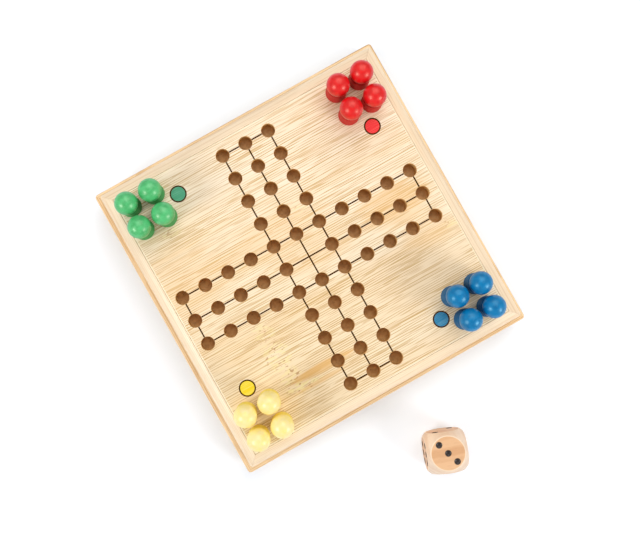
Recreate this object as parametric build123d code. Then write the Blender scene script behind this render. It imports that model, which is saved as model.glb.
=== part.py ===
from build123d import *
import os

# Square bamboo ludo box, millimetres. The origin is the centre of the tray's underside, +Z up.
# The playing board is the lid of a shallow tray and turns on a pin at the back left corner.

# --- main sizes
tray_side = 125.0
tray_height = 20.0
rim_ledge = 2.75            # the tray's rim shows this far outside the lid

# --- playing board: the panel that is drilled for the pegs
board_thickness = 7.0
board_joint = 0.12          # glue gap between the panel and its rails, each side
board_edge_break = 0.3      # chamfer along the panel's top edge
board_margin = 5.75         # from the outer row of holes to the rails
hole_diameter = 5.3
hole_depth = 5.6
track_reach = 5             # holes from the middle of the cross to the end of an arm
start_count = 2             # start holes along each side of a corner's square block
track_shift = -0.8          # the drilled pattern lies this far along X from the panel's middle

# --- lid rails: a mitred, rebated moulding round the panel
rail_face = 4.0             # width of the bevelled band seen from above
rail_seat = 8.0             # width of the ledge under the panel
rail_seat_thickness = 5.0
bevel_drop = 2.6
bevel_bulge = 0.35          # how far the bevel stands proud of a straight slope
lid_corner_break = 0.8      # chamfer across the lid's upright corners

# --- tray: four mitred walls with a bottom let into a rebate
wall_thickness = 6.0
bottom_thickness = 4.0
bottom_rebate = 3.0         # how far the bottom reaches under each wall
bottom_fit = 0.1            # clearance round the bottom, each side
tray_corner_radius = 1.6
rim_round = 0.7             # rounding of the tray's top outer edge

# --- corner blocks, glued inside the tray
block_leg = 18.0
pin_inset = 9.75            # pin and magnets from the tray's outer faces

# --- pivot pin, fast in the lid and free in the tray
pin_diameter = 4.0
pin_clearance = 0.1         # running clearance in the tray, on the radius
pin_head_diameter = 8.0
pin_head_thickness = 1.6
pin_head_play = 0.1         # gap between the head and its seat
pin_head_recess = 0.3       # head above the surface that the tray stands on
pin_slot_width = 1.1
pin_slot_depth = 0.8

# --- magnets that hold the lid shut
magnet_diameter = 6.0
magnet_thickness = 2.5
magnet_recess = 0.2         # each magnet below the face that it is let into

# --- pegs, turned in one piece
peg_pin_diameter = 4.7
peg_pin_length = 5.2
peg_pin_chamfer = 0.5
peg_foot_inset = 0.3        # the foot's edge lies this far inside the ball's
peg_shoulder_inset = 0.65
peg_shoulder_height = 8.2
peg_shoulder_slope = 0.8     # 45 degree edge between the shoulder and its side
peg_neck_inset = 1.5
peg_head_gap = 1.2          # between the balls of neighbouring pegs
peg_head_height = 14.0      # middle of the ball above the board

# --- die, lying in front of the box
die_side = 16.5
die_flat_diameter = 14.0    # round flat on each face, where the ball cuts the cube
die_turn = -21.0            # degrees about Z
die_x = 9.7
die_gap = 23.95             # from the tray's front face to the near side of the die
pip_diameter = 2.6
pip_depth = 0.6              # the pips are left by a pointed drill
pip_step = 3.45             # pips stand at this step from the middle of a face
top_pips_turn = -4.5        # degrees; the three pips on top were drilled with the die held a little askew

# --- worked out from the above
lid_side = tray_side - 2 * rim_ledge
board_side = lid_side - 2 * rail_face
hole_pitch = (board_side - 2 * board_margin) / (2 * track_reach)
lid_height = board_thickness + rail_seat_thickness
face_z = tray_height + lid_height
seat_z = tray_height + rail_seat_thickness
wall_inner = tray_side / 2 - wall_thickness
bottom_opening = tray_side - 2 * (wall_thickness - bottom_rebate)
pin_place = tray_side / 2 - pin_inset
pin_bore = pin_diameter + 2 * pin_clearance
pin_head_bore = pin_head_diameter + 4 * pin_clearance
pin_head_seat = pin_head_recess + pin_head_thickness + pin_head_play
peg_head_diameter = hole_pitch - peg_head_gap
pivot_at = (-pin_place, pin_place)
magnet_at = (pin_place, -pin_place)
peg_corners = {"green": (-1, 1), "red": (1, 1), "blue": (1, -1), "yellow": (-1, -1)}

os.makedirs("parts", exist_ok=True)


def save(name, shape):
    """Writes one node's STEP file."""
    shape.label = name
    export_step(shape, f"parts/{name}.step")


def upright(diameter, low, high, place=(0, 0)):
    """A cylinder along Z from height low to height high."""
    spot = Pos(place[0], place[1], low)
    return spot * Cylinder(diameter / 2, high - low, align=(Align.CENTER, Align.CENTER, Align.MIN))


def mitred_side(section, plan, height):
    """A moulding along the front edge of a square plan, cut at 45 degrees at both ends."""
    half = plan.bounding_box().size.X / 2
    bar = extrude(section, amount=half, both=True)
    wedge = extrude(make_face(Polyline((-half, -half), (half, -half), (0, 0), close=True)), height)
    return bar & wedge & extrude(plan, height)


def save_four_sides(name, front, holes=()):
    """The front moulding and its three turned copies, with the holes that pass through them."""
    for index, place in enumerate(("front", "right", "back", "left")):
        save(f"{name}_{place}", Rot(0, 0, 90 * index) * front - list(holes))


def tray_wall():
    """Wall section: rounded top outer edge, rebate for the bottom at the lower inner edge."""
    outer, inner = -tray_side / 2, -wall_inner
    outline = Polyline(
        (outer + rim_round, tray_height), (inner, tray_height), (inner, bottom_thickness),
        (inner - bottom_rebate, bottom_thickness), (inner - bottom_rebate, 0), (outer, 0),
        (outer, tray_height - rim_round))
    rim = RadiusArc((outer, tray_height - rim_round), (outer + rim_round, tray_height), rim_round)
    section = Plane.YZ * make_face(outline + rim)
    return mitred_side(section, RectangleRounded(tray_side, tray_side, tray_corner_radius), tray_height)


def lid_rail():
    """Rail section: bulged bevel on top, rebate for the panel, seat below it."""
    outer, inner = -lid_side / 2, -board_side / 2
    outline = Polyline(
        (inner, face_z), (inner, seat_z), (inner + rail_seat, seat_z),
        (inner + rail_seat, tray_height), (outer, tray_height), (outer, face_z - bevel_drop))
    bevel = SagittaArc((outer, face_z - bevel_drop), (inner, face_z), bevel_bulge)
    section = Plane.YZ * make_face(outline + bevel)
    square = Rectangle(lid_side, lid_side)
    return mitred_side(section, chamfer(square.vertices(), lid_corner_break), face_z)


def hole_places():
    """Middles of the cross-shaped track's holes and of the sixteen start holes."""
    reach = range(-track_reach, track_reach + 1)
    lanes = {(along, across) for along in reach for across in (-1, 0, 1)}
    lanes |= {(across, along) for along, across in lanes}
    lanes.discard((0, 0))
    starts = {place for corner in peg_corners.values() for place in start_places(corner)}
    return [(track_shift + i * hole_pitch, j * hole_pitch) for i, j in sorted(lanes | starts)]


def start_places(corner):
    """The two by two block of one colour's start holes, in pitches from the middle."""
    side_x, side_y = corner
    steps = range(track_reach - start_count + 1, track_reach + 1)
    return [(side_x * i, side_y * j) for j in steps for i in steps]


def playing_board():
    """The panel with its blind peg holes."""
    side = board_side - 2 * board_joint
    panel = Pos(0, 0, seat_z) * Box(side, side, board_thickness, align=(Align.CENTER, Align.CENTER, Align.MIN))
    panel = chamfer(panel.faces().sort_by(Axis.Z)[-1].edges(), board_edge_break)
    holes = [upright(hole_diameter, face_z - hole_depth, face_z, place) for place in hole_places()]
    return panel - holes


def tray_bottom():
    """The bottom panel, bored and counterbored for the pivot pin."""
    side = bottom_opening - 2 * bottom_fit
    panel = Box(side, side, bottom_thickness, align=(Align.CENTER, Align.CENTER, Align.MIN))
    bore = upright(pin_bore, 0, bottom_thickness, pivot_at)
    return panel - bore - upright(pin_head_bore, 0, pin_head_seat, pivot_at)


def corner_block(corner):
    """A triangular block from the bottom to the rim, in one corner of the tray."""
    x, y = corner[0] * wall_inner, corner[1] * wall_inner
    outline = Polyline((x, y), (x - corner[0] * block_leg, y), (x, y - corner[1] * block_leg), close=True)
    block = extrude(make_face(outline), tray_height - bottom_thickness, dir=(0, 0, 1))
    return Pos(0, 0, bottom_thickness) * block


def pivot_pin():
    """Plain pin with a flat slotted head under the tray; its upper end is fast in the rail."""
    head_top = pin_head_recess + pin_head_thickness
    head = upright(pin_head_diameter, pin_head_recess, head_top, pivot_at)
    slot = Box(pin_head_diameter, pin_slot_width, pin_slot_depth, align=(Align.CENTER, Align.CENTER, Align.MIN))
    shank = upright(pin_diameter, head_top, seat_z, pivot_at)
    return head + shank - Pos(*pivot_at, pin_head_recess) * slot


def peg_blank():
    """Half outline of a peg, with its foot at height zero, turned about Z."""
    ball, pin = peg_head_diameter / 2, peg_pin_diameter / 2
    foot, shoulder, neck = ball - peg_foot_inset, ball - peg_shoulder_inset, ball - peg_neck_inset
    ball_start = peg_head_height - (ball**2 - neck**2) ** 0.5
    outline = Polyline(
        (0, -peg_pin_length), (pin - peg_pin_chamfer, -peg_pin_length),
        (pin, peg_pin_chamfer - peg_pin_length), (pin, 0), (foot, 0),
        (shoulder, peg_shoulder_height - peg_shoulder_slope),
        (shoulder - peg_shoulder_slope, peg_shoulder_height),
        (neck, peg_shoulder_height), (neck, ball_start))
    outline += ThreePointArc(
        (neck, ball_start), (ball, peg_head_height), (0, peg_head_height + ball))
    outline += Line((0, peg_head_height + ball), (0, -peg_pin_length))
    return revolve(Plane.XZ * make_face(outline), Axis.Z)


def pip_places(count):
    """Pips of one face, as steps from its middle."""
    rows = {1: [(0, 0)], 2: [(-1, 1), (1, -1)], 4: [(i, j) for i in (-1, 1) for j in (-1, 1)],
            6: [(i, j) for i in (-1, 0, 1) for j in (-1, 1)]}
    return rows[count] if count in rows else rows[count - 1] + rows[1]


def die():
    """A cube cut by a ball, with drilled pips; opposite faces add up to seven."""
    half = die_side / 2
    ball = (half**2 + (die_flat_diameter / 2) ** 2) ** 0.5
    body = Box(die_side, die_side, die_side) & Sphere(ball)
    faces = {
        3: Plane((0, 0, half), (1, 0, 0), (0, 0, 1)).rotated((0, 0, top_pips_turn)),
        4: Plane((0, 0, -half), (1, 0, 0), (0, 0, -1)),
        2: Plane((0, half, 0), (0, 0, 1), (0, 1, 0)), 5: Plane((0, -half, 0), (1, 0, 0), (0, -1, 0)),
        1: Plane((half, 0, 0), (0, 1, 0), (1, 0, 0)), 6: Plane((-half, 0, 0), (0, 1, 0), (-1, 0, 0))}
    pip = Cone(0, pip_diameter / 2, pip_depth, align=(Align.CENTER, Align.CENTER, Align.MAX))
    pips = [face * Pos(i * pip_step, j * pip_step) * pip
            for count, face in faces.items() for i, j in pip_places(count)]
    front = -tray_side / 2 - die_gap - half
    return Pos(die_x, front, half) * Rot(0, 0, die_turn) * (body - pips)


def build():
    pin_hole = upright(pin_bore, 0, tray_height, pivot_at)
    pin_seat = upright(pin_diameter, tray_height, seat_z, pivot_at)
    magnet_low = upright(magnet_diameter, tray_height - magnet_recess - magnet_thickness, tray_height, magnet_at)
    magnet_high = upright(magnet_diameter, tray_height, tray_height + magnet_recess + magnet_thickness, magnet_at)

    save_four_sides("tray_wall", tray_wall())
    save("tray_bottom", tray_bottom())
    save("pivot_block", corner_block((-1, 1)) - pin_hole)
    save("magnet_block", corner_block((1, -1)) - magnet_low)
    save("tray_magnet", magnet_low & upright(magnet_diameter, 0, tray_height - magnet_recess, magnet_at))

    save_four_sides("lid_rail", lid_rail(), (pin_seat, magnet_high))
    save("playing_board", playing_board())
    save("pivot_pin", pivot_pin())
    save("lid_magnet", magnet_high & upright(magnet_diameter, tray_height + magnet_recess, face_z, magnet_at))

    blank = peg_blank()
    for colour, corner in peg_corners.items():
        for number, (i, j) in enumerate(start_places(corner), 1):
            place = Pos(track_shift + i * hole_pitch, j * hole_pitch, face_z)
            save(f"peg_{colour}_{number}", place * blank)
    save("die", die())


build()
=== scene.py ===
# %% [markdown]
# A small bamboo ludo box. The playing board is the lid of a shallow tray and swivels on a pin at one
# corner. Pegs with ball heads stand in drilled start holes, and a wooden die lies in front. The packed
# model is loaded first, because every new surface takes its place and its size from it.

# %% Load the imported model
import math

import bmesh
import bpy
import numpy as np
from mathutils import Matrix, Vector
from mathutils.geometry import delaunay_2d_cdt


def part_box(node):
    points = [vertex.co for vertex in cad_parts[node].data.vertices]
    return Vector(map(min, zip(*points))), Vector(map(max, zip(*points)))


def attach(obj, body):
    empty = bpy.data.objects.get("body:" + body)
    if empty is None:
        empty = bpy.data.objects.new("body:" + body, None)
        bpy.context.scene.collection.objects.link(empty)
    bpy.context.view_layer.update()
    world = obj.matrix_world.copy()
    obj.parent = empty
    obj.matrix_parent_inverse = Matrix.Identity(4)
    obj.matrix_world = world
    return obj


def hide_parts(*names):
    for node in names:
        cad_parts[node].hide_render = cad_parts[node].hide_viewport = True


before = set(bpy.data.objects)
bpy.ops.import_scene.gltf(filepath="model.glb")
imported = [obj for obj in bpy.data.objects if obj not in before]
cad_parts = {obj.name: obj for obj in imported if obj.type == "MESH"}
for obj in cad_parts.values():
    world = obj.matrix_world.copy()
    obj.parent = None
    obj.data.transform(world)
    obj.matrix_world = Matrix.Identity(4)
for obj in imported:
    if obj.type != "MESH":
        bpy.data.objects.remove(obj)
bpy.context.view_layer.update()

# %% [markdown]
# Everything below is worked out in millimetres, as a woodworker would mark it out, and turned into
# metres only when a mesh is made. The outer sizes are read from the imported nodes. The drilling plan
# and the turned shapes repeat the sizes that the source of the solids uses.

# %% Sizes in millimetres
def node_box(node):
    """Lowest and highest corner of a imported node, in millimetres."""
    return 1000 * np.array(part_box(node))


board_low, board_high = node_box("playing_board")
rail_low, rail_high = node_box("lid_rail_front")
wall_low, wall_high = node_box("tray_wall_front")
panel_half, face = float(board_high[0]), float(board_high[2])
lid_half, tray_half = float(-rail_low[1]), float(-wall_low[1])
# The solids leave a glue gap round the panel, of which the eye sees only a hair line.
glue_gap, hair_line = 0.12, 0.05
opening_half = panel_half + glue_gap
# Holes lie a pitch apart, and the cross reaches five of them each way from its middle, which is drilled
# a little to the left of the panel's.
pitch, shift, reach = 10.0, -0.8, 5
cells_wide = 2 * reach + 1
hole_radius, hole_depth = 2.65, 5.6
print("panel", 2 * panel_half, "lid", 2 * lid_half, "tray", 2 * tray_half, "face at", face)

# %% [markdown]
# A surface is a grid of points, and its faces join neighbours in the grid. One function makes the
# faces of any grid, and another turns points and faces into a closed object that rides on its body.
# Points that fall together, as at a pole or along a seam, are merged there, so each piece is closed.
# Two more round the corners of an outline and carry it round an axis, as a lathe does.

# %% Grids, pieces and turned shapes
def grid_faces(rows, columns):
    """Each face joins point (r, c) with its neighbours in row r + 1 and column c + 1, and the last
    column meets the first again."""
    r, c = np.meshgrid(np.arange(rows - 1), np.arange(columns), indexing="ij")
    after = (c + 1) % columns
    return np.stack([r * columns + c, r * columns + after, (r + 1) * columns + after, (r + 1) * columns + c],
                    -1).reshape(-1, 4)


def make_piece(name, points, faces, body, nodes=(), slot=None, merge=1e-4, crease=35, marks=None):
    """A closed object from points in millimetres, faces outwards, with sharp edges past the crease
    angle; it stands for the given nodes, and marks become a point attribute."""
    mesh = bpy.data.meshes.new(name)
    mesh.from_pydata((np.asarray(points) / 1000).tolist(), [], [list(map(int, f)) for f in faces])
    if marks is not None:
        mesh.attributes.new("mark", "FLOAT", "POINT").data.foreach_set("value", np.asarray(marks, np.float32))
    work = bmesh.new()
    work.from_mesh(mesh)
    bmesh.ops.remove_doubles(work, verts=work.verts, dist=merge / 1000)
    bmesh.ops.recalc_face_normals(work, faces=work.faces)
    work.to_mesh(mesh)
    work.free()
    mesh.shade_smooth()
    mesh.set_sharp_from_angle(angle=math.radians(crease))
    piece = bpy.data.objects.new(name, mesh)
    bpy.context.scene.collection.objects.link(piece)
    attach(piece, body)
    if nodes:
        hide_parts(*nodes)
    return piece


def soften(outline, cuts, steps):
    """Each corner P between A and B becomes the parabola (1-t)^2 a + 2t(1-t) P + t^2 b, where a and b
    lie on its two edges at the cut's distance from P; a cut of 0 keeps the corner."""
    outline = np.array(outline, float)
    t = np.linspace(0, 1, steps)[:, None]
    made = []
    for index, cut in enumerate(cuts):
        point = outline[index]
        if cut == 0:
            made.append(point[None])
            continue
        back, ahead = outline[index - 1] - point, outline[(index + 1) % len(outline)] - point
        a = point + cut * back / np.linalg.norm(back)
        b = point + cut * ahead / np.linalg.norm(ahead)
        made.append((1 - t)**2 * a + 2 * t * (1 - t) * point + t**2 * b)
    return np.concatenate(made)


def turned(profile, place, segments=64):
    """A profile of (radius, height) carried round a vertical axis: x = r cos a, y = r sin a."""
    angle = 2 * np.pi * np.arange(segments) / segments
    radius, height = profile[:, :1], profile[:, 1:]
    points = np.stack([place[0] + radius * np.cos(angle), place[1] + radius * np.sin(angle),
                       place[2] + height + 0 * angle], -1)
    return points.reshape(-1, 3), grid_faces(len(profile), segments)


# %% [markdown]
# Finishes are built from nodes. Writing a + b * c is easier to read and to change than placing Math
# nodes one by one, so a small class wraps a socket and adds the node for each operator.

# %% A socket that takes arithmetic
class Signal:
    """A socket that takes Python arithmetic, one Math node for each operator."""

    def __init__(self, finish, socket):
        self.finish, self.socket = finish, socket

    def _math(self, operation, *values):
        return self.finish.node("Math", {"operation": operation}, dict(enumerate(values)))

    def __add__(self, other):
        return self._math("ADD", self, other)

    def __sub__(self, other):
        return self._math("SUBTRACT", self, other)

    def __rsub__(self, other):
        return self._math("SUBTRACT", other, self)

    def __mul__(self, other):
        return self._math("MULTIPLY", self, other)

    def __truediv__(self, other):
        return self._math("DIVIDE", self, other)

    def __pow__(self, other):
        return self._math("POWER", self, other)

    def __abs__(self):
        return self._math("ABSOLUTE", self)

    __radd__, __rmul__ = __add__, __mul__

    def most(self, other):
        """The larger of two values."""
        return self._math("MAXIMUM", self, other)

    def whole(self):
        """The whole number below."""
        return self._math("FLOOR", self)

    def rest(self):
        """What is left above the whole number."""
        return self._math("FRACT", self)

    def between(self, low, high):
        """0 at low and beyond, 1 at high and beyond, and a soft step between; either may be the larger."""
        flip = low > high
        low, high = sorted((low, high))
        return self.finish.node("MapRange", {"interpolation_type": "SMOOTHSTEP"},
                                {0: self, 1: low, 2: high, 3: 1.0 * flip, 4: 1.0 * (not flip)})


# %% [markdown]
# Every other node comes from one method that takes its type, its settings and what goes into its
# sockets. The few kinds that all the finishes share, such as noise and the blend of two colours, have a
# short name of their own. A finish reads the place on the piece in millimetres, so it needs no map.

# %% The nodes of a finish
class Finish:
    """The nodes of a material or world, with the places of the surface in millimetres as x, y and z."""

    def __init__(self, name, owner=None):
        self.owner = owner or bpy.data.materials.new(name)
        self.owner.use_nodes = True
        self.tree = self.owner.node_tree
        self.tree.nodes.clear()
        self.spot = self.node("VectorMath", {"operation": "SCALE"},
                              {0: self.node("TexCoord", out="Object"), "Scale": 1000.0})
        axes = self.node("SeparateXYZ", inputs={0: self.spot}).socket.node
        self.x, self.y, self.z = (Signal(self, axes.outputs[index]) for index in range(3))

    def node(self, kind, settings=None, inputs=None, out=0):
        """Adds a node, sets it up, fills or links its sockets, and returns one of its outputs."""
        made = self.tree.nodes.new("ShaderNode" + kind)
        for key, value in (settings or {}).items():
            setattr(made, key, value)
        for key, value in (inputs or {}).items():
            if isinstance(value, Signal):
                self.tree.links.new(value.socket, made.inputs[key])
            else:
                made.inputs[key].default_value = value
        return Signal(self, made.outputs[out]) if len(made.outputs) else None

    def place(self, x, y, z):
        """A place from three numbers or signals, such as stretched coordinates for a noise."""
        return self.node("CombineXYZ", inputs={0: x, 1: y, 2: z})

    def noise(self, where, scale=1.0, detail=2.0, rough=0.5):
        """Cloudy values about 0.5, finer with more detail and harder with more rough."""
        return self.node("TexNoise", inputs={"Vector": where, "Scale": scale, "Detail": detail,
                                             "Roughness": rough})

    def noise_along(self, number):
        """The same clouds along one number, such as a height or the distance from an axis."""
        return self.node("TexNoise", {"noise_dimensions": "1D"}, {"W": number, "Scale": 1.0, "Detail": 2.0})

    def mark(self):
        """The mark that make_piece put on the points."""
        return self.node("Attribute", {"attribute_name": "mark"}, out="Fac")

    def blend(self, amount, first, second, way="MIX"):
        """Colour between first and second; each is a colour or another colour signal."""
        one, two = (c if isinstance(c, Signal) else (*c, 1) for c in (first, second))
        return self.node("Mix", {"data_type": "RGBA", "blend_type": way}, {0: amount, 6: one, 7: two}, out=2)

    def done(self, colour, roughness, height, depth, **constants):
        """The surface shader; height in parts of depth millimetres becomes its bump."""
        bump = self.node("Bump", inputs={"Strength": 1.0, "Distance": depth / 1000, "Height": height})
        inputs = {"Base Color": colour, "Roughness": roughness, "Normal": bump}
        inputs.update({key.replace("_", " "): value for key, value in constants.items()})
        shader = self.node("BsdfPrincipled", inputs=inputs)
        self.node("OutputMaterial", inputs={0: shader})
        return self.owner


def shade(red, green, blue):
    """A colour written as on a screen, 0 to 255, turned into the linear values that nodes take."""
    screen = np.array([red, green, blue]) / 255
    return tuple(np.where(screen <= 0.04045, screen / 12.92, ((screen + 0.055) / 1.055)**2.4).tolist())


# %% [markdown]
# Bamboo board is glued up from flat strips. Each strip has its own tone, its fibres run straight as
# fine lines of uneven strength, and here and there it shows a joint of the cane: a short ragged patch
# with brown flecks. Stretched noise gives the fibres and the strips. A few patches and golden slats are
# listed one by one, because their places are what the eye remembers of a board.

# %% Bamboo
def bamboo(name, light, deep, line, along="x", joints=(), streaks=(), holes=None, strip=11.0, lines=1.0,
           gloss=0.38, glow=shade(246, 208, 156)):
    """Lacquered bamboo whose fibres run along x, y or z. The bundles of fibres lie about one gauge
    apart, jittered by noise, and each has its own strength that comes and goes along its run. Joints
    and streaks are lists of (run, across, length, width, strength); holes are two tones of bored wood."""
    gauge = 0.85
    f = Finish(name)
    run, across, up = {"x": (f.x, f.y, f.z), "y": (f.y, f.x, f.z), "z": (f.z, f.x, f.y)}[along]
    wander = f.noise(f.place(run / 60, across / 9, up / 9), detail=1.0) * 0.9
    lane = across + wander
    level = up * 0.6

    # Tones of the strips, then threads, fibres and bundles of fibres, each a noise stretched along the run.
    tone = f.noise(f.place(run / 110, lane / strip, level / strip), detail=1.0)
    warm = f.noise(f.place(run / 80 + 7, lane / (0.55 * strip), level / strip), detail=1.0)
    broad = f.noise(f.place(run / 30, lane / 1.3, level / 1.3), rough=0.6)
    fine = f.noise(f.place(run / 12, lane / 0.44, level / 0.44), detail=0.0)
    fade = f.noise(f.place(run / 34 + 3, lane / 7, level / 7), detail=1.0)
    bundle = (lane + level) / gauge + f.noise(f.place(run / 70, lane / 2.2, level / 2.2), detail=1.0) * 1.6
    bold = f.noise(f.place(run / 20, bundle.whole() * 5.7, 0.0), rough=0.6)
    thin = abs(bundle.rest() - 0.5)

    colour = f.blend(tone.between(0.34, 0.68) * 0.6, light, deep)
    colour = f.blend(warm.between(0.56, 0.72) * 0.25, colour, glow)
    thread = broad.between(0.50, 0.70) * 0.06
    drawn = thin.between(0.20, 0.09) * bold.between(0.34, 0.56)
    hair = (drawn * 0.95).most(fine.between(0.60, 0.68) * 0.6) * (0.75 + 0.25 * fade.between(0.36, 0.60))
    colour = f.blend(thread * lines, colour, line)
    colour = f.blend(hair * lines, colour, line)
    grain = broad * 0.3 + fine * 0.7

    # Joints of the cane are ragged ovals of pale and brown flecks; a streak is a golden slat.
    speck = f.noise(f.place(run, across / 0.7, level), detail=1.0, rough=0.6)
    fleck = f.noise(f.place(run / 3.2 + 5, across / 1.1, level), detail=1.0)
    pore = f.noise(f.place(run / 1.7 + 9, across / 0.8, level), detail=1.0)
    for x, y, length, width, strength in joints:
        off = ((run - x) / length)**2 + ((across - y) / width)**2
        near = (off + (speck - 0.5) * 1.3).between(1.0, 0.2) * strength
        colour = f.blend(near * fleck.between(0.44, 0.60) * 0.65, colour, shade(251, 234, 178))
        colour = f.blend(near * pore.between(0.62, 0.68) * 0.75, colour, shade(178, 118, 66))
        grain = grain + near * speck * 0.5
    for x, y, length, width, strength in streaks:
        off = ((run - x) / length)**2 + ((across - y) / width)**2
        near = (off + (broad - 0.5) * 1.5).between(1.0, 0.1) * strength
        colour = f.blend(near, colour, shade(233, 180, 102))
    if holes:
        # The board alone: darker and warmer towards the front left, with a painted highlight on its rolled
        # edge, and holes burnt by the drill.
        golden = across.between(36, -36) * (0.5 + 0.5 * run.between(40, -40))
        colour = f.blend(golden, colour, f.blend(1.0, colour, shade(244, 241, 229), "MULTIPLY"))
        # Painted highlight: the panel's rolled edge is made lighter.
        edge = abs(f.x).most(abs(f.y)).between(panel_half - 0.5, panel_half - 0.35)
        colour = f.blend(edge * 0.8, colour, shade(255, 240, 208))
        burnt = f.noise(f.spot, scale=0.6, detail=3.0)
        bored = f.blend(burnt.between(0.35, 0.7), *holes)
        dust = f.noise(f.spot, scale=2.4, detail=1.0).between(0.72, 0.78)
        bored = f.blend(dust * 0.7, bored, shade(70, 40, 28))
        colour = f.blend(f.mark(), colour, bored)
    rough = gloss + 0.12 * (hair + tone * 0.5)
    return f.done(colour, rough, grain, 0.009, Specular_IOR_Level=0.4)


# %% [markdown]
# The same finish serves every wooden part of the box. The board has strong golden fibres, and the
# joints and slats that catch the eye. The rails are plainer, and the tray is a shade browner. Rails and
# walls have one material for those that run along x and one for y, so the grain turns the corner.

# %% Bamboo for each part
board_joints = ((-30.5, -17, 5, 5, 0.7), (-30, -27, 6, 8, 0.9), (-29, -38, 6, 6, 0.9),
                (-27, -42, 9, 2.5, 1.0), (4.8, 17.5, 4, 3, 0.7), (53, -15, 4, 2.5, 0.8),
                (-42, 34, 5, 2.5, 0.6))
board_streaks = ((-16, -39.4, 17, 2.6, 0.75), (-20, -43.5, 14, 1.2, 0.4), (-8, 13, 30, 9, 0.30),
                 (2, 1, 26, 9, 0.26), (38, 2, 19, 10, 0.50), (-46, 14, 20, 17, 0.26), (44, -13, 13, 8, 0.24))
cream, tan, fibre = shade(253, 234, 207), shade(248, 221, 186), shade(200, 158, 88)
board_wood = bamboo("board_bamboo", cream, tan, fibre, joints=board_joints, streaks=board_streaks,
                    holes=(shade(222, 180, 116), shade(200, 152, 88)))
rail_tones = shade(249, 226, 194), shade(242, 212, 174), shade(222, 184, 138)
rail_wood = {axis: bamboo("rail_bamboo_" + axis, *rail_tones, axis, lines=0.55, gloss=0.3,
                          glow=shade(246, 212, 172)) for axis in "xy"}
wall_tones = shade(246, 214, 168), shade(238, 198, 146), shade(200, 154, 102)
wall_wood = {axis: bamboo("tray_bamboo_" + axis, *wall_tones, axis, lines=0.8) for axis in "xy"}
floor_wood = bamboo("tray_floor_bamboo", shade(243, 216, 172), shade(232, 196, 148), shade(196, 156, 104),
                    strip=16.0, gloss=0.5)
block_wood = bamboo("block_bamboo", shade(236, 204, 156), shade(224, 184, 132), shade(180, 138, 90),
                    along="z", gloss=0.55)
print("bamboo finishes:", [m.name for m in bpy.data.materials if "bamboo" in m.name])

# %% [markdown]
# The playing board is one panel with 72 drilled holes. A boolean cut would leave long thin faces, so
# the panel is laid out as an 11 by 11 lattice of cells instead. In a cell with a hole, rings blend
# from the cell's square edge to the circle, roll over the rim and go down the wall to the bottom.

# %% Cells of the lattice
# Rings of a hole, from the flat board over the rim and down to the middle of its bottom: how far
# outside the hole's radius, how deep, and how much the drill has burnt the wood there.
hole_rings = ((0.65, 0, 0), (0.15, 0, 0), (0.10, 0.012, 0.35), (0.05, 0.04, 0.8), (0.01, 0.09, 1),
              (0, 0.16, 1), (0, 2.6, 1), (0, hole_depth - 0.35, 1), (-0.2, hole_depth - 0.1, 1),
              (-1.45, hole_depth - 0.05, 1), (-hole_radius, hole_depth, 1))


def hole_cells():
    """True for each lattice cell, column by row, that has a hole: three lanes wide each way, without
    the middle, and two by two start holes in each corner."""
    i, j = np.meshgrid(np.arange(-reach, reach + 1), np.arange(-reach, reach + 1), indexing="ij")
    lanes = (np.abs(i) <= 1) | (np.abs(j) <= 1)
    start = (np.abs(i) >= reach - 1) & (np.abs(j) >= reach - 1)
    return (lanes | start) & ~((i == 0) & (j == 0))


def square_loop(steps):
    """Points round a unit square, anticlockwise from its low corner, the same number on each side."""
    t, zero = np.arange(steps) / steps, np.zeros(steps)
    return np.concatenate([np.stack([t, zero], 1), np.stack([1 + zero, t], 1),
                           np.stack([1 - t, 1 + zero], 1), np.stack([zero, 1 - t], 1)])


def cell_rings(low, high, middle, rings, steps):
    """Ring 0 is the cell's edge; ring k is the circle of radius r_k at depth d_k about the hole."""
    loop = square_loop(steps)
    edge = low[:, None] + loop * (high - low)[:, None]
    angle = -0.75 * np.pi + 2 * np.pi * np.arange(4 * steps) / (4 * steps)
    ray = np.stack([np.cos(angle), np.sin(angle)], -1)
    made = [np.concatenate([edge, np.full(edge.shape[:2] + (1,), face)], -1)]
    for radius, depth, _ in rings:
        around = middle[:, None] + radius * ray
        made.append(np.concatenate([around, np.full(around.shape[:2] + (1,), face - depth)], -1))
    return np.stack(made, 1)


print("cells with a hole:", int(hole_cells().sum()))

# %% [markdown]
# The cells are made all at once, those with a hole as one block of points and those without as
# another. The lattice's outer lines move out to the panel's edge, and a skirt that starts on the same
# points rolls over the edge, goes down the sides and closes the underside.

# %% The drilled panel
# The panel's rolled edge: how far out and how far down.
edge_roll = ((0, 0), (0.10, 0.02), (0.24, 0.09), (0.36, 0.18), (0.43, 0.27), (0.45, 0.4))


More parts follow.
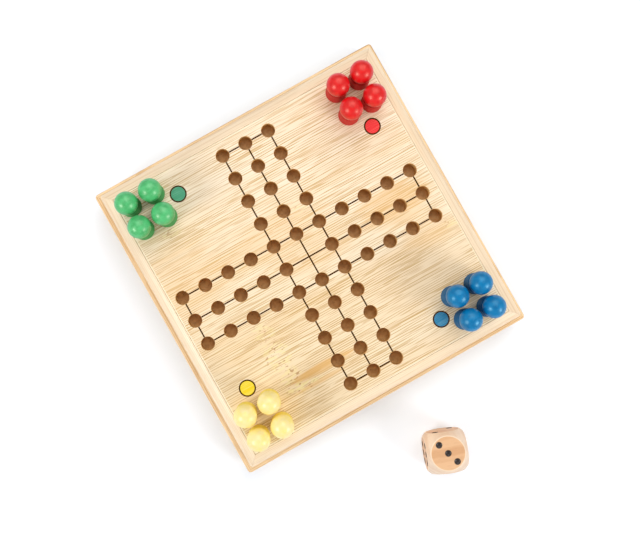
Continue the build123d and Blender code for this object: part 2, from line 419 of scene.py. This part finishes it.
def drilled_panel(steps=12):
    """The lattice of cells, and round it a rolled edge, the sides and the underside. The panel fills most
    of the glue gap, which shows only as a hair line."""
    outer = opening_half - hair_line
    inner = outer - edge_roll[-1][0]
    lines = (np.arange(-reach, reach + 2) - 0.5) * pitch
    xs, ys = lines + shift, lines.copy()
    for cuts in (xs, ys):
        cuts[0], cuts[-1] = -inner, inner
    i, j = (a.ravel() for a in np.meshgrid(np.arange(cells_wide), np.arange(cells_wide), indexing="ij"))
    low, high = np.stack([xs[i], ys[j]], 1), np.stack([xs[i + 1], ys[j + 1]], 1)
    middle = np.stack([(i - reach) * pitch + shift, (j - reach) * pitch], 1)
    drilled = hole_cells().ravel()
    bore = [(hole_radius + out, depth, burn) for out, depth, burn in hole_rings]
    points, faces, marks, count = [], [], [], 0
    for chosen, rings in ((drilled, bore), (~drilled, ((0, 0, 0),))):
        block = cell_rings(low[chosen], high[chosen], middle[chosen], rings, steps)
        cells, rows, columns = block.shape[:3]
        points.append(block.reshape(-1, 3))
        marks.append(np.tile(np.repeat([0, *(ring[2] for ring in rings)], columns), cells))
        one = grid_faces(rows, columns)
        faces.append((one[None] + count + (np.arange(cells) * rows * columns)[:, None, None]).reshape(-1, 4))
        count += block.size // 3
    fine = [np.append((m[:-1, None] + np.arange(steps) / steps * np.diff(m)[:, None]).ravel(), m[-1])
            for m in (xs, ys)]
    flat = np.full(len(fine[0]) - 1, inner)
    border = np.concatenate([np.stack([fine[0][:-1], -flat], 1), np.stack([flat, fine[1][:-1]], 1),
                             np.stack([fine[0][:0:-1], flat], 1), np.stack([-flat, fine[1][:0:-1]], 1)])
    under = face - board_low[2]
    skirt = [np.column_stack([border * (inner + out) / inner, np.full(len(border), face - down)])
             for out, down in (*edge_roll, (outer - inner, under), (-inner, under))]
    points.append(np.concatenate(skirt))
    marks.append(np.zeros(len(points[-1])))
    faces.append(grid_faces(len(skirt), len(border)) + count)
    return np.concatenate(points), np.concatenate(faces), np.concatenate(marks)


points, faces, marks = drilled_panel()
board = make_piece("drilled_board", points, faces, "lid", ["playing_board"], "board_bamboo", marks=marks)
board.data.materials.append(board_wood)
print("drilled board:", len(board.data.polygons), "faces")

# %% [markdown]
# The lanes of the track are printed as thin dark lines that stop at each hole. A pattern in the board's
# finish could draw them, but a film of ink that is a piece of its own keeps its edge from near and far.
# It is thicker than real ink by a hair. Each strip is the same small profile carried from hole to hole,
# and the lanes across lie a little higher than the others, so that no two faces share a plane.

# %% Printed lines
ink_foot, line_width, line_height, crossing_height = -0.01, 0.61, 0.016, 0.021


def ink_strips(starts, ends, height):
    """A strip from start to end: its section is a low trapezium, set out across the line's direction."""
    way = ends - starts
    way /= np.linalg.norm(way, axis=1, keepdims=True)
    side = np.stack([-way[:, 1], way[:, 0]], 1)
    section = np.array([(-0.5, ink_foot), (0.5, ink_foot), (0.42, height), (-0.42, height)])
    across = section[:, 0] * line_width
    points = np.stack([np.stack([place[:, None, 0] + across * side[:, None, 0],
                                 place[:, None, 1] + across * side[:, None, 1],
                                 np.broadcast_to(face + section[:, 1], (len(place), 4))], -1)
                       for place in (starts, ends)], 1)
    box = np.array([(0, 1, 5, 4), (1, 2, 6, 5), (2, 3, 7, 6), (3, 0, 4, 7), (3, 2, 1, 0), (4, 5, 6, 7)])
    return points.reshape(-1, 3), (box[None] + 8 * np.arange(len(starts))[:, None, None]).reshape(-1, 4)


def track_strips(gap=hole_radius + 0.09):
    """Three lanes each way from end hole to end hole, and the two end rows; each strip stops short of
    the holes, and the two middle ones pass through the crossing."""
    pairs = [((i, lane), (i + 1, lane)) for lane in (-1, 0, 1) for i in range(-reach, reach)
             if lane or i not in (-1, 0)]
    pairs += [((end, lane), (end, lane + 1)) for end in (-reach, reach) for lane in (-1, 0)]
    starts, ends = np.array(pairs + [((-1, 0), (1, 0))], float).transpose(1, 0, 2)
    way = np.sign(ends - starts)
    return starts * pitch + way * gap, ends * pitch - way * gap


one_way = track_strips()
moved = np.array([shift, 0])
across_way = [pair[:, ::-1] for pair in one_way]
ink_parts = [ink_strips(one_way[0] + moved, one_way[1] + moved, line_height),
             ink_strips(across_way[0] + moved, across_way[1] + moved, crossing_height)]
ink_points = np.concatenate([part[0] for part in ink_parts])
ink_faces = np.concatenate([ink_parts[0][1], ink_parts[1][1] + len(ink_parts[0][0])])
track_ink = make_piece("track_lines", ink_points, ink_faces, "lid", merge=1e-5, crease=20)
print("printed strips:", len(ink_points) // 8)

# %% [markdown]
# A printed dot in each colour, with a dark ring round it, lies beside the corner where that colour's
# pegs start. Both are low turned shapes: the dot is a disc with an eased edge, and the ring a band that
# laps over it.

# %% Printed dots
dot_radius, dot_height, ring_radius, ring_height, ink_ease = 2.80, 0.028, 3.28, 0.036, 0.08
# Places of the dots in hole pitches from the middle of the cross; a film and its ring in (radius, height).
dot_places = {"green": (-3.2, 4.55), "red": (4.58, 3.18), "blue": (3.23, -4.57), "yellow": (-4.52, -3.22)}
film = np.array([(0, ink_foot), (dot_radius, ink_foot), (dot_radius, 0.018),
                 (dot_radius - ink_ease, 0.026), (0, dot_height)])
inside = dot_radius - ink_ease
band = np.array([(inside, ink_foot), (ring_radius, ink_foot), (ring_radius, 0.02),
                 (ring_radius - ink_ease, ring_height), (dot_radius, ring_height), (inside, 0.02),
                 (inside, ink_foot)])
dots = {}
for colour, (i, j) in dot_places.items():
    place = (i * pitch + shift, j * pitch, face)
    dots[colour] = make_piece(f"dot_{colour}", *turned(film, place), "lid", crease=20)
    dots[colour + "_ring"] = make_piece(f"dot_ring_{colour}", *turned(band, place), "lid", crease=20)
print("dots and rings:", len(dots))

# %% [markdown]
# Printing ink sinks a little into the open fibres, so lines and dots are not one even colour: the wood
# grain shows through as faint scratches along it.

# %% Ink finishes
def ink(name, colour, worn, strength):
    """Ink on bamboo: the fibres of the board show through as fine lighter lines."""
    f = Finish(name)
    fibres = f.noise(f.place(f.x / 14, f.y / 0.3, f.z), rough=0.65)
    cloud = f.noise(f.spot, scale=0.35)
    tint = f.blend(fibres.between(0.50, 0.62) * strength, colour, worn)
    tint = f.blend(cloud.between(0.4, 0.7) * 0.12, tint, worn)
    return f.done(tint, 0.6 + 0.1 * cloud, fibres, 0.006, Specular_IOR_Level=0.03)


dark_ink = ink("dark_ink", shade(66, 36, 0), shade(90, 54, 10), 0.3)
track_ink.data.materials.append(dark_ink)
dot_tints = {"green": (shade(86, 164, 128), shade(120, 188, 156)),
             "red": (shade(246, 58, 62), shade(252, 110, 100)),
             "blue": (shade(54, 130, 170), shade(116, 166, 186)),
             "yellow": (shade(246, 216, 50), shade(250, 230, 120))}
for colour, (full, thin) in dot_tints.items():
    dots[colour].data.materials.append(ink(f"{colour}_ink", full, thin, 0.7))
    dots[colour + "_ring"].data.materials.append(dark_ink)
print("ink finishes:", 1 + len(dot_tints))

# %% [markdown]
# The panel is framed by four rails, and the tray by four walls. Both are mouldings cut at 45 degrees:
# the same section carried along the edge and trimmed where it meets its neighbour. A profile swept
# round the whole frame would be quicker, but it would lose the joint in the corner. The corner is
# rounded, so the section's outermost points stop on a quarter circle and the rest on the mitre.

# %% A mitred moulding
def ease_in(steps):
    """Numbers from 0 to 1 that start close together: 1 - cos a for a quarter turn."""
    return 1 - np.cos(np.linspace(0, np.pi / 2, steps))


def moulding(top, inner, low, half, corner, roll, gap=0.02, steps=7):
    """One side of a square frame along its front edge. top(u) is the height of the upper surface at a
    distance u inside the outer face, with finer steps over the last roll of it, and inner lists the
    section from there round to the foot. A point stops a gap short of half - u, which is the mitre, or
    on the corner's circle at half - r + sqrt(r^2 - (r - u)^2), whichever comes first. Without the gap
    both would meet at u = r (1 - sqrt(1/2))."""
    meet, width = corner * (1 - 0.5**0.5), inner[0][0]
    u_round = meet * ease_in(steps)
    u_rest = np.unique(np.concatenate([np.linspace(meet, width, 3 * steps + 1)[1:],
                                       width - roll * ease_in(steps - 1)]))
    bottom = np.column_stack([u_round[::-1], np.full(steps, low)])
    ring = np.concatenate([bottom, np.column_stack([u_round, top(u_round)]),
                           np.column_stack([u_rest, top(u_rest)]), np.array(inner, float)[1:]])
    u, z = ring[:, 0], ring[:, 1]
    on_circle = half - corner + np.sqrt(np.clip(corner**2 - (corner - u)**2, 0, None))
    stop = np.minimum(half - u - gap, np.where(u < corner, on_circle, half))
    points = np.concatenate([np.column_stack([side * stop, u - half, z]) for side in (-1, 1)])
    count, last, strip = len(ring), 2 * steps - 1, np.arange(steps - 1)
    rounded = np.stack([strip, strip + 1, last - 1 - strip, last - strip], 1)
    mitre = np.array([0, *range(last, count)])
    return points, [*grid_faces(2, count).tolist(), *rounded.tolist(), *(rounded + count).tolist(),
                    mitre.tolist(), (mitre + count).tolist()]


def four_sides(name, shape, body, node, slot, finishes, bevel):
    """The front moulding and its three turned copies, (x, y) to (-y, x) each time."""
    points, faces = shape
    for index, place in enumerate(("front", "right", "back", "left")):
        x, y = points[:, 0], points[:, 1]
        spun = [(x, y), (-y, x), (-x, -y), (y, -x)][index]
        piece = make_piece(f"{name}_{place}", np.column_stack([*spun, points[:, 2]]), faces, body,
                           [f"{node}_{place}"], slot)
        ease = piece.modifiers.new("eased_edges", "BEVEL")
        ease.width, ease.segments = bevel / 1000, 2
        ease.limit_method, ease.angle_limit = "ANGLE", math.radians(40)
        piece.data.materials.append(finishes["xy"[index % 2]])
        print(piece.name, len(piece.data.polygons), "faces")


# %% [markdown]
# A rail slopes down to the outside and is slightly bowed, and its edges are rolled off. A wall has a
# flat rim with a rounded edge, and a rebate below for the bottom. Both sections take their outer sizes
# from the solids, but stay a slip clear of the plane in which lid and tray meet, so that the lid slides
# over the rim as it swivels.

# %% Rails and walls
rail_width, fall, bow = lid_half - opening_half, 2.6, 0.4165
outer_roll, inner_roll, rim_round = (0.7, 0.34), (0.3, 0.08), 0.7
rail_depth, wall_depth = rail_high[1] - rail_low[1], wall_high[1] - wall_low[1]
bottom_height, rebate, slip = node_box("tray_bottom")[1][2], 3.0, 0.02
seat, foot, rim = board_low[2], rail_low[2] + slip, wall_high[2] - slip


def rail_top(u):
    """A straight slope from face - fall at the outside up to the face, bowed by 4 s (1 - s) bows, and
    rolled off at both ends by small parabolas, each with a width and a depth."""
    s = u / rail_width
    outside = outer_roll[1] * np.clip(1 - u / outer_roll[0], 0, 1)**2
    inside = inner_roll[1] * np.clip(1 - (rail_width - u) / inner_roll[0], 0, 1)**2
    return face - fall * (1 - s) + 4 * bow * s * (1 - s) - outside - inside


def wall_top(u):
    """Flat rim with a quarter round at the outer edge: rim - r + sqrt(r^2 - (r - u)^2)."""
    return rim - rim_round + np.sqrt(rim_round**2 - np.clip(rim_round - u, 0, rim_round)**2)


rail_inner = [(rail_width, face), (rail_width, seat), (rail_depth, seat), (rail_depth, foot)]
wall_inner = [(wall_depth, rim), (wall_depth, bottom_height), (wall_depth - rebate, bottom_height),
              (wall_depth - rebate, 0)]
rail_shape = moulding(rail_top, rail_inner, foot, lid_half, corner=1.3, roll=inner_roll[0])
wall_shape = moulding(wall_top, wall_inner, 0.0, tray_half, corner=1.6, roll=inner_roll[0])
four_sides("rail", rail_shape, "lid", "lid_rail", "rail_bamboo", rail_wood, bevel=0.06)
four_sides("wall", wall_shape, "tray", "tray_wall", "tray_bamboo", wall_wood, bevel=0.10)

# %% [markdown]
# A peg is turned in one piece: a pin that fits the hole, a body that narrows slightly, a neck and a
# ball, with a small mark on top where the lathe's centre held it. The profile is carried round the
# axis, as the lathe does it. The Screw modifier would do the same, but here the points are at hand.

# %% Turned pegs
pin_radius, pin_length, foot_radius, waist_radius, neck_radius = 2.35, 5.2, 4.1, 3.75, 2.9
shoulder_height, neck_height, ball_radius, ball_height = 8.2, 9.6, 4.4, 14.0
peg_top = ball_height + ball_radius
corners = {"green": (-1, 1), "red": (1, 1), "blue": (1, -1), "yellow": (-1, -1)}


def peg_profile():
    """Half outline (radius, height) from the pin's end to the mark on top of the ball, where a point of
    the ball is (r sin a, h + r cos a). Angle 0.06 leaves room for the mark."""
    outline = [(0, -pin_length), (pin_radius, -pin_length), (pin_radius, 0), (foot_radius, 0),
               (waist_radius, shoulder_height), (neck_radius, shoulder_height), (neck_radius, neck_height)]
    lower = soften(outline, [0, 0.5, 0, 0.25, 0.8, 0.12, 0], steps=6)
    turn = np.linspace(math.pi - math.asin(neck_radius / ball_radius), 0.06, 40)
    head = np.column_stack([ball_radius * np.sin(turn), ball_height + ball_radius * np.cos(turn)])
    mark = np.array([(0.20, peg_top - 0.015), (0.14, peg_top - 0.04), (0.07, peg_top - 0.06),
                     (0, peg_top - 0.065)])
    return np.concatenate([lower, head, mark])


def start_places(corner):
    """The two by two start holes of a corner, in the order of the pegs' numbers."""
    return [(corner[0] * i, corner[1] * j) for j in (reach - 1, reach) for i in (reach - 1, reach)]


profile = peg_profile()
pegs = {}
for colour, corner in corners.items():
    for number, (i, j) in enumerate(start_places(corner), 1):
        name = f"peg_{colour}_{number}"
        points, faces = turned(profile, (i * pitch + shift, j * pitch, face))
        pegs[name] = make_piece("turned_" + name, points, faces, name, [name], f"peg_{colour}_paint")
print("pegs:", len(pegs), "with", len(profile), "points in their outline")

# %% [markdown]
# The pegs are dipped in semi-gloss paint. The wood's grain and the lathe's rings swell slightly under
# it. Shade is painted into the colour: the lower half of the ball, the neck, the body and the mark on
# top are darker than the light alone would make them. The body dries duller than the ball. Each peg
# takes the paint a little differently, so tone and gloss wander over every ball, and its highlights
# take on some of the paint's colour.

# %% Peg paint
def peg_paint(name, colour, deep, pale, painted_shade, sheen):
    """Semi-gloss paint over turned wood, duller on the body, with shade painted into its colour: deeper
    from the ball down to the body, and darkest in the neck, between shoulder and ball, and in the mark on
    top."""
    f = Finish(name)
    cloud = f.noise(f.spot, scale=0.42, detail=3.0, rough=0.55)
    grain = f.noise(f.place(f.x / 0.45, f.y / 0.45, f.z / 5))
    height = f.z - face
    shaded_neck = (height.between(ball_height - 2.0, ball_height - 3.8)
               * height.between(shoulder_height - 0.3, shoulder_height + 0.1))
    body = height.between(ball_height - 2.5, ball_height - 4.5)
    tint = f.blend(cloud.between(0.35, 0.7) * 0.45, colour, deep)
    tint = f.blend(grain.between(0.58, 0.75) * 0.35, tint, pale)
    # Painted shade: darker in the mark on top, deeper over the lower half of the ball, darkest in the neck,
    # and deeper on the body below it.
    tint = f.blend(height.between(peg_top - 0.10, peg_top - 0.02) * 0.12, tint, painted_shade)
    tint = f.blend(height.between(ball_height + 2.8, ball_height - 1.4) * 0.8, tint, deep)
    tint = f.blend(shaded_neck * 0.7, tint, painted_shade)
    tint = f.blend(body * 0.3, tint, deep)
    rings = f.noise_along(f.z * 1.9)
    speck = f.noise(f.spot, scale=3.0, detail=1.0)
    bump = cloud * 0.5 + rings * 0.25 + grain * 0.2 + speck * 0.1
    return f.done(tint, 0.29 + 0.07 * cloud + 0.4 * body, bump, 0.04, Specular_IOR_Level=0.8,
                  Specular_Tint=(*sheen, 1))


# Per colour: paint, deeper tone (random clouds, and painted shade low on the ball and body), pale grain,
# painted shade of the neck and top mark, highlight tint.
paints = {
    "green": peg_paint("peg_green_paint", shade(84, 194, 120), shade(30, 142, 64), shade(140, 218, 156),
                       shade(8, 94, 36), (0.9, 1.0, 0.8)),
    "red": peg_paint("peg_red_paint", shade(232, 18, 26), shade(188, 0, 8), shade(242, 56, 58),
                     shade(146, 0, 8), (1.0, 0.75, 0.6)),
    "blue": peg_paint("peg_blue_paint", shade(0, 121, 179), shade(0, 78, 132), shade(24, 138, 192),
                      shade(0, 54, 102), (0.45, 0.9, 1.0)),
    "yellow": peg_paint("peg_yellow_paint", shade(252, 232, 165), shade(253, 229, 92), shade(254, 241, 186),
                        shade(252, 220, 0), (1.0, 0.95, 0.8))}
for name, piece in pegs.items():
    piece.data.materials.append(paints[name.split("_")[1]])
print("paints:", sorted(paints))

# %% [markdown]
# The die is a cube tumbled until only a round flat is left on each face. Beyond the flat the surface is
# part of a ball. The flat with its pips is filled by a triangulation whose outline and pip rims are
# kept, because round rims on a square grid would look frayed.

# %% One face of the die
die_low, die_high = node_box("die")
die_half, flat, flat_roll = (die_high[2] - die_low[2]) / 2, 7.0, 0.14
pip_radius, pip_depth, pip_step, pip_lip = 1.3, 0.6, 3.45, 0.05
die_middle = np.array([*((die_low + die_high)[:2] / 2), die_half])
die_turn, top_count, top_pips_turn = math.radians(-21), 3, math.radians(-4.5)


def pip_centres(count):
    """Middles of one face's pips on a three by three lattice; those on top were drilled a little askew."""
    rows = {1: [(0, 0)], 2: [(-1, 1), (1, -1)], 4: [(i, j) for i in (-1, 1) for j in (-1, 1)],
            6: [(i, j) for i in (-1, 0, 1) for j in (-1, 1)]}
    centres = np.array(rows[count] if count in rows else rows[count - 1] + rows[1], float) * pip_step
    askew = top_pips_turn * (count == top_count)
    cos, sin = math.cos(askew), math.sin(askew)
    return centres @ np.array([(cos, sin), (-sin, cos)])


def circle(steps):
    """Points round a unit circle."""
    angle = 2 * np.pi * np.arange(steps) / steps
    return np.stack([np.cos(angle), np.sin(angle)], -1)


def die_face(count, segments=96, rim_steps=40, ball_steps=16):
    """One sixth of the die, facing +z. Outside the flat a point is R (q cos a, q sin a, 1) / sqrt(q^2 + 1),
    with q from the flat's edge to the seam with the next face at q = 1 / max(|cos a|, |sin a|)."""
    radius, ray = math.hypot(die_half, flat), circle(segments)
    start, end = (flat + flat_roll) / die_half, 1 / np.abs(ray).max(1)
    q = start + (end - start) * np.linspace(0, 1, ball_steps)[:, None]
    ball = np.stack([q * ray[:, 0], q * ray[:, 1], np.ones_like(q)], -1)
    rolled = [np.column_stack([ray * (flat - inset), np.full(segments, die_half - down)])
              for inset, down in ((flat_roll, 0), (0.06, 0.008), (-0.03, 0.045))]
    skin = np.concatenate([np.stack(rolled), radius * ball / np.sqrt(q**2 + 1)[..., None]])
    centres, lip = pip_centres(count), pip_radius + pip_lip
    loops = [skin[0, :, :2]] + [centre + circle(rim_steps) * lip for centre in centres]
    starts = np.cumsum([0] + [len(loop) for loop in loops])
    edges = [(int(first) + n, int(first) + (n + 1) % len(loop))
             for first, loop in zip(starts, loops) for n in range(len(loop))]
    outline = [Vector(point) for point in np.concatenate(loops).tolist()]
    found, _, triangles, *_ = delaunay_2d_cdt(outline, edges, [], 0, 1e-6)
    found, triangles = np.array(found), np.array(triangles)
    middles = found[triangles].mean(1)
    clear = np.linalg.norm(middles[:, None] - centres, axis=2).min(1) > lip
    points = [skin.reshape(-1, 3), np.column_stack([found, np.full(len(found), die_half)])]
    faces = [grid_faces(len(skin), segments), triangles[clear] + len(points[0])]
    total = len(points[0]) + len(points[1])
    bowl = np.array([(lip, 0), (pip_radius, -0.02), (1.24, -0.10), (1.1, -0.26), (0.85, -0.42),
                     (0.5, -0.54), (0, -pip_depth)])
    marks = [np.zeros(total)]
    for centre in centres:
        dish, dish_faces = turned(bowl, (*centre, die_half), rim_steps)
        points.append(dish)
        faces.append(dish_faces + total)
        marks.append(np.repeat(np.arange(len(bowl)) > 0, rim_steps).astype(float))
        total += len(dish)
    polygons = [polygon for block in faces for polygon in block.tolist()]
    return np.concatenate(points), polygons, np.concatenate(marks)


# %% [markdown]
# All six faces are the same sixth with other pips. Each is turned so that it looks the right way, and
# their seams are merged when the piece is made. The die lies turned against the box, with three pips up.

# %% The whole die
def die_shape():
    """Six faces turned into place so that opposite ones add up to seven, then the whole die turned. Each
    face has the direction of its rows and the one it looks out to."""
    frames = {3: ((1, 0, 0), (0, 0, 1)), 4: ((1, 0, 0), (0, 0, -1)), 2: ((0, 0, 1), (0, 1, 0)),
              5: ((1, 0, 0), (0, -1, 0)), 1: ((0, 1, 0), (1, 0, 0)), 6: ((0, 1, 0), (-1, 0, 0))}
    points, faces, marks, total = [], [], [], 0
    spin = np.array(Matrix.Rotation(die_turn, 3, "Z"))
    for count, (side, out) in frames.items():
        side, out = np.array(side, float), np.array(out, float)
        axes = np.stack([side, np.cross(out, side), out])
        local, polygons, mark = die_face(count)
        points.append(local @ axes @ spin.T + die_middle)
        faces += [[index + total for index in polygon] for polygon in polygons]
        marks.append(mark)
        total += len(local)
    return np.concatenate(points), faces, np.concatenate(marks)


points, faces, marks = die_shape()
die = make_piece("wooden_die", points, faces, "die", ["die"], "die_beech", merge=5e-4, crease=50, marks=marks)
print("die:", len(die.data.polygons), "faces at", np.round(die_middle, 2).tolist())

# %% [markdown]
# The die is plain beech under a thin wax. Beech is pinkish, with short darker flecks along the grain.
# The flats were sanded last, so their fresh wood is warmer than the tumbled part round them, and a
# painted highlight follows their rolled edge as a pale line. The pips are painted black, which the mark on
# the mesh gives.

# %% Beech and pip paint
def beech(name, heart=(14, 9)):
    """Waxed beech whose growth rings run through the whole block, as rings about a distant axis, the
    tree's heart beside and below the die."""
    f = Finish(name)
    cos, sin = math.cos(die_turn), math.sin(die_turn)
    dx, dy, up = (axis - float(middle) for axis, middle in zip((f.x, f.y, f.z), die_middle))
    along, across = dx * cos + dy * sin, dy * cos - dx * sin
    wobble = f.noise(f.place(along / 9, across / 5, f.z / 5)) * 1.6
    band = f.noise_along((((across + heart[0])**2 + (f.z + heart[1])**2)**0.5 + wobble) * 0.45)
    fleck = f.noise(f.place(along / 1.8, across / 0.32, f.z / 0.32))
    out = abs(along).most(abs(across)).most(abs(up))
    from_middle = ((along * along + across * across + up * up) - out * out)**0.5
    on_flat = from_middle.between(flat - 0.25, flat - 0.38)
    # Painted highlight: a pale line on the rolled edge of each flat.
    flat_edge_highlight = from_middle.between(flat + 0.25, flat - 0.05)
    sanded = f.blend(band.between(0.34, 0.66) * 0.7, shade(230, 184, 140), shade(212, 158, 112))
    tumbled = f.blend(band.between(0.36, 0.66) * 0.6, shade(238, 214, 190), shade(226, 190, 158))
    tint = f.blend(on_flat, f.blend(flat_edge_highlight, tumbled, shade(243, 220, 192)), sanded)
    tint = f.blend(fleck.between(0.58, 0.72) * 0.25, tint, shade(196, 142, 106))
    pip = f.mark().between(0.3, 0.7)
    tint = f.blend(pip, tint, shade(42, 30, 26))
    return f.done(tint, 0.42 - 0.12 * pip, band * 0.4 + fleck * 0.6, 0.02, Coat_Weight=0.12,
                  Coat_Roughness=0.3)


die.data.materials.append(beech("die_beech"))
print("die finish:", die.data.materials[0].name)

# %% [markdown]
# Out of sight under the lid are the bottom, two corner blocks, the pivot pin and a pair of magnets.
# Their solids are already the right shape, so they keep their meshes and only get a finish: bamboo,
# bright zinc on the pin, and nickel plate on the magnets.

# %% Finishes for the hidden pieces
def plated(name, colour, roughness, grain, brushed):
    """Plated metal: fine turning marks as bump, and slow clouds in tint and gloss."""
    f = Finish(name)
    cloud = f.noise(f.spot, scale=0.5, detail=3.0)
    marks = f.noise(f.place(f.x * grain, f.y * grain, f.z * grain * brushed))
    tint = f.blend(cloud.between(0.35, 0.7) * 0.5, colour, shade(150, 148, 142))
    return f.done(tint, roughness + 0.15 * cloud, marks, 0.004, Metallic=1.0)


zinc = plated("pin_steel", shade(206, 206, 208), roughness=0.28, grain=1.2, brushed=9.0)
nickel = plated("magnet_nickel", shade(214, 210, 200), roughness=0.16, grain=3.0, brushed=1.0)
for node, finish in (("tray_bottom", floor_wood), ("pivot_block", block_wood), ("magnet_block", block_wood),
                     ("pivot_pin", zinc), ("tray_magnet", nickel), ("lid_magnet", nickel)):
    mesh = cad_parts[node].data
    mesh.materials.clear()
    mesh.materials.append(finish)
print("finished in place:", "tray_bottom, two blocks, pin, two magnets")

# %% [markdown]
# The box lies on a white sweep, as small goods do in a studio. A white floor alone would come out grey
# where the light is weak, so it glows a little, but only for the camera: the ground stays white while
# the object's soft shadow is kept. Close round the box the glow is a step weaker, which paints a
# tight contact shadow there.

# %% The white floor
def white_sweep():
    """White ground: a matt surface that takes the shadow, plus a faint glow only for the camera, which
    goes on growing far away. Just outside the box it grows a step, so that the weaker glow close round
    the box paints a contact shadow there."""
    f = Finish("white_ground")
    mottle = f.noise(f.spot, scale=0.02)
    matt_white = f.blend(mottle * 0.3, shade(238, 243, 250), shade(235, 241, 249))
    matt = f.node("BsdfDiffuse", inputs={"Color": matt_white})
    seen = f.node("LightPath", out="Is Camera Ray")
    away = abs(f.x).most(abs(f.y))
    # Painted shadow: less glow within a few millimetres of the box.
    camera_glow_with_painted_shadow = 0.08 + 0.10 * away.between(tray_half + 2, tray_half + 14) + 0.7 * away.between(150, 900)
    glow = f.node("Emission", inputs={"Color": (1, 1, 1, 1), "Strength": seen * camera_glow_with_painted_shadow})
    f.node("OutputMaterial", inputs={0: f.node("AddShader", inputs={0: matt, 1: glow})})
    return f.owner


ground_half, ground_level = 2.0, -0.0002
ground_mesh = bpy.data.meshes.new("ground")
ground_mesh.from_pydata([(x * ground_half, y * ground_half, ground_level)
                         for x, y in ((-1, -1), (1, -1), (1, 1), (-1, 1))], [], [(0, 1, 2, 3)])
ground_mesh.materials.append(white_sweep())
ground = bpy.data.objects.new("ground", ground_mesh)
scene = bpy.context.scene
scene.collection.objects.link(ground)
print("ground:", 2 * ground_half, "m wide")

# %% [markdown]
# An even bright tent surrounds the box, so its glossy pegs mirror soft light and no dark room. Two soft
# boxes stand fairly low, at the left and in front, and a larger one hangs high up behind. They set the
# highlights on the balls and the direction of the shadows.

# %% Tent and soft boxes
def white_tent():
    """White surroundings: brightest from 27 to 37 degrees up, dimmer near the horizon and overhead, and
    plain white where the camera looks past the ground."""
    f = Finish("white_tent", bpy.data.worlds.new("white_tent"))
    rise = f.node("SeparateXYZ", inputs={0: f.node("TexCoord", out="Generated")}, out="Z")
    level = 0.12 + 0.48 * rise.between(0.0, 0.45) - 0.30 * rise.between(0.6, 0.9)
    white = level.most(f.node("LightPath", out="Is Camera Ray"))
    f.node("OutputWorld", inputs={0: f.node("Background", inputs={"Color": (1, 1, 1, 1), "Strength": white})})
    return f.owner


def soft_box(name, toward, tilt, size, power, distance=0.8):
    """A square area lamp, sizes in metres, at a tilt from overhead towards a direction on the ground."""
    lamp = bpy.data.objects.new(name, bpy.data.lights.new(name, "AREA"))
    scene.collection.objects.link(lamp)
    lamp.data.shape, lamp.data.size, lamp.data.energy = "SQUARE", size, power
    level, angle = Vector((*toward, 0)).normalized(), math.radians(tilt)
    lamp.location = distance * (level * math.sin(angle) + Vector((0, 0, math.cos(angle))))
    lamp.rotation_euler = lamp.location.to_track_quat("Z", "Y").to_euler()


scene.world = white_tent()
soft_box("left_box", toward=(-1.0, -0.03), tilt=52.7, size=0.31, power=2.7)
soft_box("front_box", toward=(0.51, -0.86), tilt=62.6, size=0.29, power=2.4)
soft_box("key_box", toward=(0.6, 0.8), tilt=33, size=0.7, power=3.0)
scene.view_settings.view_transform = "Standard"

# %% [markdown]
# The camera hangs almost over the middle of the board, a little to the left and in front of it, turned
# by about 29 degrees. It looks down with a slightly long lens, so heads near the edges lean outwards a
# little and the tray's rim shows as a thin ledge.

# %% Camera
lens = bpy.data.cameras.new("overhead")
lens.lens, lens.sensor_width = 58.725, 36.0
lens.shift_x, lens.shift_y = 0.0459, 0.00075
lens.clip_start, lens.clip_end = 0.01, 20
camera = bpy.data.objects.new("overhead", lens)
camera.location = (-0.019746, -0.009000, 0.431362)
camera.rotation_euler = [math.radians(a) for a in (1.6368, -0.7130, -29.3618)]
scene.collection.objects.link(camera)
scene.camera = camera
print("camera", round(camera.location.z * 1000), "mm above the table")
